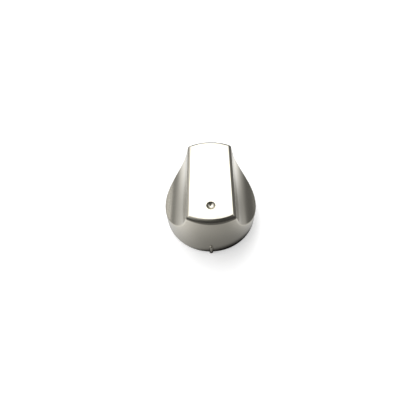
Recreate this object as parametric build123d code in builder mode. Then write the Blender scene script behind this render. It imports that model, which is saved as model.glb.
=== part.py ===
"""A push-on hob knob: one plated moulding with a bar grip, and the spring band round its split hub.

The knob stands on its skirt. The origin is on the spindle axis at the foot of the skirt, +Z is up
through the grip, the grip runs along Y, and the pointer is at the front, towards -Y.
"""

from build123d import *
import os

# Outside of the body, in millimetres and degrees
base_diameter = 40.0  # across the foot of the skirt
height = 25.8  # from the foot to the flat of the grip
grip_end_diameter = 38.9  # across the two round ends of the grip, at the top
grip_width = 18.0  # across the flat of the grip, before its edge is rounded
scoop_radius = 25.7  # of the hollow that falls from each side of the grip
scoop_lean = 5.9  # how far the grip's sides lean from upright at the top
top_edge_radius = 2.0  # round the flat of the grip
flat_facing = 0.05  # taken off the top of that rounding, which gives the flat a crisp border
ridge_radius = 0.9  # where a scoop meets the round wall
foot_chamfer = 0.5  # outer edge of the foot

# Marks that show where the knob points
dimple_diameter = 3.4
dimple_depth = 0.9
dimple_reach = 12.4  # from the axis to the middle of the dimple
pip_width = 1.7
pip_height = 6.0
pip_proud = 0.6  # how far the pip stands out of the foot

# Inside of the moulding
wall = 2.0
roof = 2.4  # thickness under the flat of the grip
hub_diameter = 12.6
hub_recess = 1.0  # from the foot up to the hub's mouth
rib_thickness = 1.6
rib_recess = 9.0  # from the foot up to the ribs, which leaves the hub free to flex
mouth_diameter = 8.6  # round mouth of the socket, clear of an 8 mm spindle
mouth_depth = 5.0
mouth_lead_in = 0.5  # bevel that guides the spindle in
socket_diameter = 8.1  # for the flatted end of the spindle
socket_across_flat = 6.6  # from the flat to the far side
socket_depth = 15.5  # from the hub's mouth to the end of the socket
slot_width = 1.2
slot_depth = 7.0

# Spring band
band_thickness = 0.5
band_width = 4.0
band_gap = 50.0  # opening of the band, in degrees
band_recess = 1.4  # from the hub's mouth to the band's seat
seat_depth = 0.3  # of the groove that holds the band
seat_clearance = 0.02

# Worked out from the sizes above
base_radius = base_diameter / 2
hub_radius = hub_diameter / 2
mouth_radius = mouth_diameter / 2
seat_radius = hub_radius - seat_depth
pip_radius = pip_width / 2
pip_axis = pip_radius - pip_proud - base_radius
dimple_radius = (dimple_diameter**2 / 4 + dimple_depth**2) / (2 * dimple_depth)


def wall_radius(level):
    """Radius of the outside wall at a level: a straight taper from the foot to the top."""
    return base_radius + (grip_end_diameter / 2 - base_radius) * level / height


def knob_form(inset, top, edge_radius=None):
    """The round tapered body with a scoop on each side, drawn in by inset and cut off at top.

    A given edge_radius rounds the rim of the top, and the cut then takes flat_facing off the rounding.
    """
    rim = top + flat_facing
    with BuildPart() as form:
        with BuildSketch(Plane.XZ) as half:
            with BuildLine():
                Polyline(
                    (0, 0),
                    (wall_radius(0) - inset, 0),
                    (wall_radius(rim) - inset, rim),
                    (0, rim),
                    close=True,
                )
            make_face()
            if edge_radius:
                fillet(half.vertices().group_by(Axis.Y)[-1].sort_by(Axis.X)[-1], edge_radius)
        revolve(axis=Axis.Z)
        lean = Vector(scoop_radius, 0).rotate(Axis.Z, scoop_lean)
        scoop_reach = grip_width / 2 + lean.X
        with BuildSketch(Plane.XZ) as section:
            with Locations((0, rim / 2)):
                Rectangle(2 * max(scoop_reach, base_radius), rim)
            with Locations((-scoop_reach, height + lean.Y), (scoop_reach, height + lean.Y)):
                Circle(scoop_radius + inset, mode=Mode.SUBTRACT)
            if edge_radius:
                fillet(section.vertices().group_by(Axis.Y)[-1], edge_radius)
        extrude(amount=base_diameter, both=True, mode=Mode.INTERSECT)
        split(bisect_by=Plane.XY.offset(top), keep=Keep.BOTTOM)
    return form.part


# Hollow of the underside, as the steel of the mould would fill it
with BuildPart() as hollow:
    add(knob_form(wall, height - roof))

    # Leave room for the hub and for the four ribs that tie it to the walls and the roof
    with BuildSketch(Plane.XY.offset(hub_recess)):
        Circle(hub_radius)
    extrude(amount=height, mode=Mode.SUBTRACT)
    with BuildSketch(Plane.XY.offset(rib_recess)):
        Rectangle(rib_thickness, base_diameter)
        Rectangle(base_diameter, rib_thickness)
    extrude(amount=height, mode=Mode.SUBTRACT)

    # Seat of the band, and the slots that split the hub's mouth
    with BuildSketch(Plane.XY.offset(hub_recess + band_recess)):
        Circle(hub_radius)
        Circle(seat_radius, mode=Mode.SUBTRACT)
    extrude(amount=band_width + 2 * seat_clearance)
    with BuildSketch(Plane.XY.offset(hub_recess)):
        Rectangle(hub_diameter, slot_width)
    extrude(amount=slot_depth)

    # Socket for the spindle: a round mouth with a lead-in, then a stretch with one flat
    with BuildSketch(Plane.XY.offset(hub_recess)):
        Circle(socket_diameter / 2)
        with Locations((0, socket_across_flat - socket_diameter)):
            Rectangle(socket_diameter, socket_diameter, mode=Mode.INTERSECT)
    extrude(amount=socket_depth)
    with BuildSketch(Plane.XZ):
        with BuildLine():
            Polyline(
                (0, hub_recess),
                (mouth_radius + mouth_lead_in, hub_recess),
                (mouth_radius, hub_recess + mouth_lead_in),
                (mouth_radius, hub_recess + mouth_depth),
                (0, hub_recess + mouth_depth),
                close=True,
            )
        make_face()
    revolve(axis=Axis.Z)

# Body: skirt, grip, hub and ribs in one moulding
with BuildPart() as knob_body:
    add(knob_form(0, height, top_edge_radius))

    # Round the ridges where the scoops meet the wall, and bevel the foot
    round_faces = knob_body.faces().filter_by(lambda face: face.geom_type in (GeomType.CONE, GeomType.TORUS))
    round_edges = round_faces.edges()
    side_edges = knob_body.faces().filter_by(GeomType.CYLINDER).edges()
    fillet([edge for edge in side_edges if edge in round_edges], ridge_radius)
    chamfer(knob_body.faces().sort_by(Axis.Z)[0].edges(), foot_chamfer)

    # Dimple in the flat, and the domed pip at the foot
    with Locations((0, -dimple_reach, height - dimple_depth + dimple_radius)):
        Sphere(dimple_radius, rotation=(90, 0, 0), mode=Mode.SUBTRACT)
    with BuildSketch(Plane.YZ):
        with BuildLine():
            Line((pip_axis, 0), (pip_axis, pip_height))
            Line((pip_axis, 0), (pip_axis - pip_radius, 0))
            Line((pip_axis - pip_radius, 0), (pip_axis - pip_radius, pip_height - pip_radius))
            RadiusArc(
                (pip_axis - pip_radius, pip_height - pip_radius),
                (pip_axis, pip_height),
                pip_radius,
            )
        make_face()
    revolve(axis=Axis((0, pip_axis, 0), (0, 0, 1)))

    add(hollow.part, mode=Mode.SUBTRACT)
knob_body.part.label = "knob_body"

# Spring band: an open ring of strip steel that squeezes the split hub on the spindle
with BuildPart() as spring_band:
    with BuildSketch(Plane.XY.offset(hub_recess + band_recess + seat_clearance)):
        Circle(seat_radius + seat_clearance + band_thickness)
        Circle(seat_radius + seat_clearance, mode=Mode.SUBTRACT)
        with BuildLine():
            first = PolarLine((0, 0), hub_diameter, 90 - band_gap / 2)
            last = PolarLine((0, 0), hub_diameter, 90 + band_gap / 2)
            Line(first @ 1, last @ 1)
        make_face(mode=Mode.SUBTRACT)
    extrude(amount=band_width)
spring_band.part.label = "spring_band"

os.makedirs("parts", exist_ok=True)
export_step(knob_body.part, "parts/knob_body.step")
export_step(spring_band.part, "parts/spring_band.step")
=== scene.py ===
"""Looks of the hob knob: a satin metal finish on the moulding, and the studio that shows it.

Lengths in this script are millimetres until they go to Blender, which works in metres.
"""

import math

import bpy
from mathutils import Matrix, Vector

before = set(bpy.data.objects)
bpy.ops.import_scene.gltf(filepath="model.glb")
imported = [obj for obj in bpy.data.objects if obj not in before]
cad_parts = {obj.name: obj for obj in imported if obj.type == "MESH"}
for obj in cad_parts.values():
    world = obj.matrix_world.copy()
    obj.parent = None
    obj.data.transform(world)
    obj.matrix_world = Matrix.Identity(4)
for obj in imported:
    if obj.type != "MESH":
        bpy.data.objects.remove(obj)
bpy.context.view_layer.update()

MM = 0.001

# Camera, fitted to the outline in the photograph
PHOTO_WIDTH = 400  # pixels
FOCAL_PIXELS = 280.0
ELEVATION = 57.92  # degrees above the table
AZIMUTH = -3.24  # turn of the view about the vertical
ROLL = -3.80
ORIGIN_PIXEL = (210.42, 211.05)  # where the foot's centre falls in the photograph
ORIGIN_DEPTH = 129.4  # from the camera to the foot's centre, along the view
NEAREST = 1  # distance from which the camera sees

# Finishes: colour, share by which the grain swings the colour, roughness at the grain's two ends,
# and the grain's fineness per metre along each axis
SILVER = (0.474, 0.450, 0.386)
SILVER_SWING = 0.07
SILVER_ROUGHNESS = (0.12, 0.20)
SILVER_GRAIN = (9000.0, 9000.0, 9000.0)
SILVER_GRAIN_DETAIL = 3.0
SILVER_BUMP_STRENGTH = 0.04
SILVER_BUMP_HEIGHT = 0.02  # of the grain's relief
STEEL = (0.42, 0.42, 0.43)
STEEL_SWING = 0.15
STEEL_ROUGHNESS = (0.22, 0.42)
STEEL_GRAIN = (300.0, 300.0, 12000.0)  # drawn out along the strip
STEEL_GRAIN_DETAIL = 2.0

# Smooth shading of the CAD nodes
WELD_REACH = 0.002  # corners nearer to each other than this are joined
SHARP_ANGLE = 22  # degrees, past which an edge stays sharp
FLAT_WEIGHT = 80  # how far the large flats hold the shading level

# Table
TABLE_COLOUR = (0.90, 0.90, 0.90)
TABLE_ROUGHNESS = 0.9
TABLE_HALF = 2000  # from the knob to the table's edge
TABLE_LEVEL = -0.01  # a hair below the foot, so that the two faces don't coincide

# Soft lights of the room: elevation, azimuth to the left of straight back, half width and half height
# in degrees, and brightness
ROOM_LIGHTS = (
    (68, 60, 16, 9, 2.36),
    (68, 0, 16, 9, 0.68),
    (68, 120, 16, 9, 0.58),
    (60, -30, 16, 9, 0.85),
    (52, 0, 16, 8, 2.05),
    (52, 40, 16, 8, 2.07),
    (52, 75, 16, 8, 1.77),
    (52, -75, 16, 8, 1.13),
    (38, 0, 16, 7, 0.57),
    (38, 110, 16, 7, 1.08),
    (26, 0, 16, 6, 1.12),
    (26, 40, 16, 6, 1.00),
    (20, 80, 16, 6, 0.31),
    (20, -80, 18, 7, 0.16),
    (17, 40, 16, 4.5, 1.16),
    (5, 57, 15, 3, 0.32),
    (5, -57, 15, 3, 0.34),
    (0, 40, 16, 3, 0.88),
    (0, 75, 16, 3, 1.32),
    (-90, 0, 60, 60, 0.90),
)
ROOM_DIM = 0.075  # the room between its lights

# Light that lies on the table, as the knob mirrors it: place and spread in millimetres, and brightness
TABLE_LIGHTS = (
    (-220, 60, 70, 120, 1.02),
    (-160, 60, 60, 90, 0.31),
    (-140, 47, 25, 33, 0.27),
    (-34, 10, 12, 40, 0.46),
    (-30, -26, 14, 14, 0.70),
    (-27, -20, 7, 14, 0.24),
    (-27, 36, 7, 14, 0.90),
    (0, -34, 20, 5, 0.31),
    (16, -26, 10, 5, 0.14),
    (27, -20, 7, 14, 0.48),
    (24, -12, 3.5, 16, 0.28),
    (24, 30, 3.5, 19, 0.20),
    (27, 36, 7, 14, 1.14),
    (38, -12, 5, 16, 0.44),
    (41, 44, 8, 20, 0.20),
)
TABLE_DIM = 0.19  # the table between those pools of light
TABLE_WHITE = 0.42  # brings the lit table up to white for the camera
CONTACT_MIDDLE = (1.6, -4.1)  # of the knob's own shadow round its foot, which lies towards the front right
CONTACT_RADII = (16.2, 18.2)  # where that shadow starts to fade and where it ends
CONTACT_DARKEST = 0.05  # share of the table's light that is left inside it
HOLLOW_RADIUS = 19.5  # of the table inside the knob's foot, which lets light into the hollow from below


def new_material(name):
    """A material with its Principled shader; returns the material, its nodes, links and shader."""
    material = bpy.data.materials.new(name)
    material.use_nodes = True
    nodes, links = material.node_tree.nodes, material.node_tree.links
    return material, nodes, links, nodes["Principled BSDF"]


def grain_group():
    """Node group for the grain of a metal: one noise that swings colour and roughness, and is a height.

    Colour is dark + (light - dark) * noise, and roughness is smooth + (rough - smooth) * noise.
    """
    group = bpy.data.node_groups.new("metal_grain", "ShaderNodeTree")
    sockets = (
        ("Vector", "INPUT", "NodeSocketVector"),
        ("Detail", "INPUT", "NodeSocketFloat"),
        ("Dark", "INPUT", "NodeSocketColor"),
        ("Light", "INPUT", "NodeSocketColor"),
        ("Smooth", "INPUT", "NodeSocketFloat"),
        ("Rough", "INPUT", "NodeSocketFloat"),
        ("Color", "OUTPUT", "NodeSocketColor"),
        ("Roughness", "OUTPUT", "NodeSocketFloat"),
        ("Height", "OUTPUT", "NodeSocketFloat"),
    )
    for name, direction, kind in sockets:
        group.interface.new_socket(name, in_out=direction, socket_type=kind)
    given = group.nodes.new("NodeGroupInput").outputs
    result = group.nodes.new("NodeGroupOutput").inputs
    noise = group.nodes.new("ShaderNodeTexNoise")
    noise.inputs["Scale"].default_value = 1.0
    group.links.new(given["Vector"], noise.inputs["Vector"])
    group.links.new(given["Detail"], noise.inputs["Detail"])
    tint = group.nodes.new("ShaderNodeMix")
    tint.data_type = "RGBA"
    group.links.new(noise.outputs["Fac"], tint.inputs["Factor"])
    group.links.new(given["Dark"], tint.inputs["A"])
    group.links.new(given["Light"], tint.inputs["B"])
    group.links.new(tint.outputs["Result"], result["Color"])
    spread = group.nodes.new("ShaderNodeMapRange")
    group.links.new(noise.outputs["Fac"], spread.inputs["Value"])
    group.links.new(given["Smooth"], spread.inputs["To Min"])
    group.links.new(given["Rough"], spread.inputs["To Max"])
    group.links.new(spread.outputs["Result"], result["Roughness"])
    group.links.new(noise.outputs["Fac"], result["Height"])
    return group


def grained_metal(name, group, colour, swing, roughness, fineness, detail):
    """A metal with the grain in its colour and roughness; returns the material, its shader and the grain.

    The grain runs from (1 - swing) * colour, where it is smooth, to (1 + swing) * colour, where it is rough.
    """
    material, nodes, links, shader = new_material(name)
    shader.inputs["Metallic"].default_value = 1.0
    scaled = nodes.new("ShaderNodeMapping")
    scaled.inputs["Scale"].default_value = fineness
    links.new(nodes.new("ShaderNodeTexCoord").outputs["Object"], scaled.inputs["Vector"])
    grain = nodes.new("ShaderNodeGroup")
    grain.node_tree = group
    links.new(scaled.outputs["Vector"], grain.inputs["Vector"])
    grain.inputs["Detail"].default_value = detail
    grain.inputs["Dark"].default_value = (*((1 - swing) * c for c in colour), 1)
    grain.inputs["Light"].default_value = (*((1 + swing) * c for c in colour), 1)
    grain.inputs["Smooth"].default_value = roughness[0]
    grain.inputs["Rough"].default_value = roughness[1]
    links.new(grain.outputs["Color"], shader.inputs["Base Color"])
    links.new(grain.outputs["Roughness"], shader.inputs["Roughness"])
    return material, shader, grain


def silver_material(group):
    """Satin metal finish of the moulding: a warm grey metal, whose fine grain also stands in relief."""
    material, shader, grain = grained_metal(
        "satin_silver", group, SILVER, SILVER_SWING, SILVER_ROUGHNESS, SILVER_GRAIN, SILVER_GRAIN_DETAIL
    )
    bump = material.node_tree.nodes.new("ShaderNodeBump")
    bump.inputs["Strength"].default_value = SILVER_BUMP_STRENGTH
    bump.inputs["Distance"].default_value = SILVER_BUMP_HEIGHT * MM
    material.node_tree.links.new(grain.outputs["Height"], bump.inputs["Height"])
    material.node_tree.links.new(bump.outputs["Normal"], shader.inputs["Normal"])
    return material


def steel_material(group):
    """Bright strip steel of the band, with its grain drawn out along the strip."""
    return grained_metal(
        "strip_steel", group, STEEL, STEEL_SWING, STEEL_ROUGHNESS, STEEL_GRAIN, STEEL_GRAIN_DETAIL
    )[0]


def smooth(node):
    """Shade a CAD node smoothly, with its corners kept sharp and its large flats level."""
    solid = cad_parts[node]
    for polygon in solid.data.polygons:
        polygon.use_smooth = True
    weld = solid.modifiers.new("weld", "WELD")
    weld.merge_threshold = WELD_REACH * MM
    split = solid.modifiers.new("corners", "EDGE_SPLIT")
    split.split_angle = math.radians(SHARP_ANGLE)
    level = solid.modifiers.new("level", "WEIGHTED_NORMAL")
    level.keep_sharp = True
    level.weight = FLAT_WEIGHT
    return solid


def dress():
    """Give each CAD node its finish."""
    group = grain_group()
    finishes = {"knob_body": silver_material(group), "spring_band": steel_material(group)}
    for node, finish in finishes.items():
        solid = smooth(node)
        solid.data.materials.clear()
        solid.data.materials.append(finish)


def camera_axes():
    """Right, up and forward of the camera, from the fitted angles.

    Forward follows the azimuth and the elevation, and the roll turns the level axes about it.
    """
    e, a, r = (math.radians(v) for v in (ELEVATION, AZIMUTH, ROLL))
    forward = Vector((math.sin(a) * math.cos(e), math.cos(a) * math.cos(e), -math.sin(e)))
    level = Vector((math.cos(a), -math.sin(a), 0))
    upright = level.cross(forward)
    right = math.cos(r) * level + math.sin(r) * upright
    up = -math.sin(r) * level + math.cos(r) * upright
    return right, up, forward


def add_camera():
    """The photograph's camera, placed so that the foot's centre falls on its pixel at its depth.

    The lens is the focal length over the photograph's width, both in pixels, times the sensor's width.
    """
    right, up, forward = camera_axes()
    across = (ORIGIN_PIXEL[0] - PHOTO_WIDTH / 2) / FOCAL_PIXELS * ORIGIN_DEPTH
    down = (ORIGIN_PIXEL[1] - PHOTO_WIDTH / 2) / FOCAL_PIXELS * ORIGIN_DEPTH
    place = -(ORIGIN_DEPTH * forward + across * right - down * up)
    data = bpy.data.cameras.new("camera")
    data.lens = FOCAL_PIXELS / PHOTO_WIDTH * data.sensor_width
    data.clip_start = NEAREST * MM
    camera = bpy.data.objects.new("camera", data)
    turn = Matrix((right, up, -forward)).transposed().to_4x4()
    camera.matrix_world = Matrix.Translation(place * MM) @ turn
    bpy.context.scene.collection.objects.link(camera)
    bpy.context.scene.camera = camera


def calc(tree, operation, *values):
    """A Math node on sockets and plain numbers; returns its result."""
    node = tree.nodes.new("ShaderNodeMath")
    node.operation = operation
    for socket, value in zip(node.inputs, values):
        if isinstance(value, (int, float)):
            socket.default_value = value
        else:
            tree.links.new(value, socket)
    return node.outputs[0]


def along(tree, vector, axis):
    """The dot product of a vector socket and a fixed axis."""
    node = tree.nodes.new("ShaderNodeVectorMath")
    node.operation = "DOT_PRODUCT"
    tree.links.new(vector, node.inputs[0])
    node.inputs[1].default_value = axis
    return node.outputs["Value"]


def bell(tree, first, second):
    """A soft spot: exp(-(a * a + b * b) / 2), with a and b counted in the spot's own spread."""
    square = calc(tree, "ADD", calc(tree, "MULTIPLY", first, first), calc(tree, "MULTIPLY", second, second))
    return calc(tree, "EXPONENT", calc(tree, "MULTIPLY", square, -0.5))


def light_path(tree, kind):
    """One of the Light Path outputs."""
    return tree.nodes.new("ShaderNodeLightPath").outputs[kind]


def distance_from(tree, place, middle):
    """Distance in metres of a place from a point of the table, whose x and y are in millimetres."""
    node = tree.nodes.new("ShaderNodeVectorMath")
    node.operation = "DISTANCE"
    tree.links.new(place, node.inputs[0])
    node.inputs[1].default_value = (middle[0] * MM, middle[1] * MM, 0)
    return node.outputs["Value"]


def mixed(tree, share, first, second):
    """A Mix Shader: first where the share is 0, second where it is 1; returns its result."""
    node = tree.nodes.new("ShaderNodeMixShader")
    for socket, value in zip(node.inputs, (share, first, second)):
        tree.links.new(value, socket)
    return node.outputs[0]


def mirrored_table(tree, place):
    """The table as the finish mirrors it: soft pools of light on a dim ground, times the contact shadow.

    The light is TABLE_DIM plus each pool's strength times its bell. The shadow rises from CONTACT_DARKEST
    to 1 by a smooth step between its two radii.
    """
    glow = TABLE_DIM
    for x, y, spread_x, spread_y, strength in TABLE_LIGHTS:
        across = calc(tree, "SUBTRACT", along(tree, place, (1 / (spread_x * MM), 0, 0)), x / spread_x)
        away = calc(tree, "SUBTRACT", along(tree, place, (0, 1 / (spread_y * MM), 0)), y / spread_y)
        glow = calc(tree, "MULTIPLY_ADD", bell(tree, across, away), strength, glow)
    contact = tree.nodes.new("ShaderNodeMapRange")
    contact.interpolation_type = "SMOOTHSTEP"
    contact.inputs["From Min"].default_value = CONTACT_RADII[0] * MM
    contact.inputs["From Max"].default_value = CONTACT_RADII[1] * MM
    contact.inputs["To Min"].default_value = CONTACT_DARKEST
    tree.links.new(distance_from(tree, place, CONTACT_MIDDLE), contact.inputs["Value"])
    emission = tree.nodes.new("ShaderNodeEmission")
    tree.links.new(calc(tree, "MULTIPLY", glow, contact.outputs["Result"]), emission.inputs["Strength"])
    return emission.outputs[0]


def add_table():
    """A plain white table, whose pools of light and contact shadow show in the knob's finish.

    It is clear from below, and inside the knob's foot, so that a view from below shows the hollow.
    """
    half, level = TABLE_HALF * MM, TABLE_LEVEL * MM
    corners = [(-half, -half, level), (half, -half, level), (half, half, level), (-half, half, level)]
    mesh = bpy.data.meshes.new("table")
    mesh.from_pydata(corners, [], [(0, 1, 2, 3)])
    table = bpy.data.objects.new("table", mesh)
    bpy.context.scene.collection.objects.link(table)
    material, nodes, links, shader = new_material("table")
    shader.inputs["Base Color"].default_value = (*TABLE_COLOUR, 1)
    shader.inputs["Roughness"].default_value = TABLE_ROUGHNESS
    shader.inputs["Specular IOR Level"].default_value = 0.0
    shader.inputs["Emission Color"].default_value = (1, 1, 1, 1)
    tree = material.node_tree
    seen_white = calc(tree, "MULTIPLY", light_path(tree, "Is Camera Ray"), TABLE_WHITE)
    links.new(seen_white, shader.inputs["Emission Strength"])
    place = nodes.new("ShaderNodeTexCoord").outputs["Object"]
    mirrored = mirrored_table(tree, place)
    surface = mixed(tree, light_path(tree, "Is Glossy Ray"), shader.outputs[0], mirrored)
    under_knob = calc(tree, "LESS_THAN", distance_from(tree, place, (0, 0)), HOLLOW_RADIUS * MM)
    below = nodes.new("ShaderNodeNewGeometry").outputs["Backfacing"]
    clear = nodes.new("ShaderNodeBsdfTransparent").outputs[0]
    one_sided = mixed(tree, calc(tree, "MAXIMUM", under_knob, below), surface, clear)
    links.new(one_sided, nodes["Material Output"].inputs["Surface"])
    mesh.materials.append(material)


def light_room():
    """A dim room with soft lights on its dome; the camera sees its backdrop white.

    Brightness is ROOM_DIM plus each light's strength times its bell, on the light's own half of the dome.
    """
    world = bpy.data.worlds.new("room")
    world.use_nodes = True
    tree = world.node_tree
    direction = tree.nodes.new("ShaderNodeTexCoord").outputs["Generated"]
    glow = ROOM_DIM
    for elevation, azimuth, half_width, half_height, strength in ROOM_LIGHTS:
        e, a = math.radians(elevation), math.radians(azimuth)
        middle = Vector((-math.sin(a) * math.cos(e), math.cos(a) * math.cos(e), math.sin(e)))
        side = Vector((math.cos(a), math.sin(a), 0))
        upward = side.cross(middle)
        spot = bell(
            tree,
            along(tree, direction, side / math.sin(math.radians(half_width))),
            along(tree, direction, upward / math.sin(math.radians(half_height))),
        )
        facing = calc(tree, "GREATER_THAN", along(tree, direction, middle), 0.0)
        glow = calc(tree, "MULTIPLY_ADD", calc(tree, "MULTIPLY", spot, facing), strength, glow)
    backdrop = calc(tree, "MAXIMUM", glow, light_path(tree, "Is Camera Ray"))
    tree.links.new(backdrop, tree.nodes["Background"].inputs["Color"])
    bpy.context.scene.world = world
    bpy.context.scene.view_settings.view_transform = "Standard"


dress()
add_camera()
add_table()
light_room()
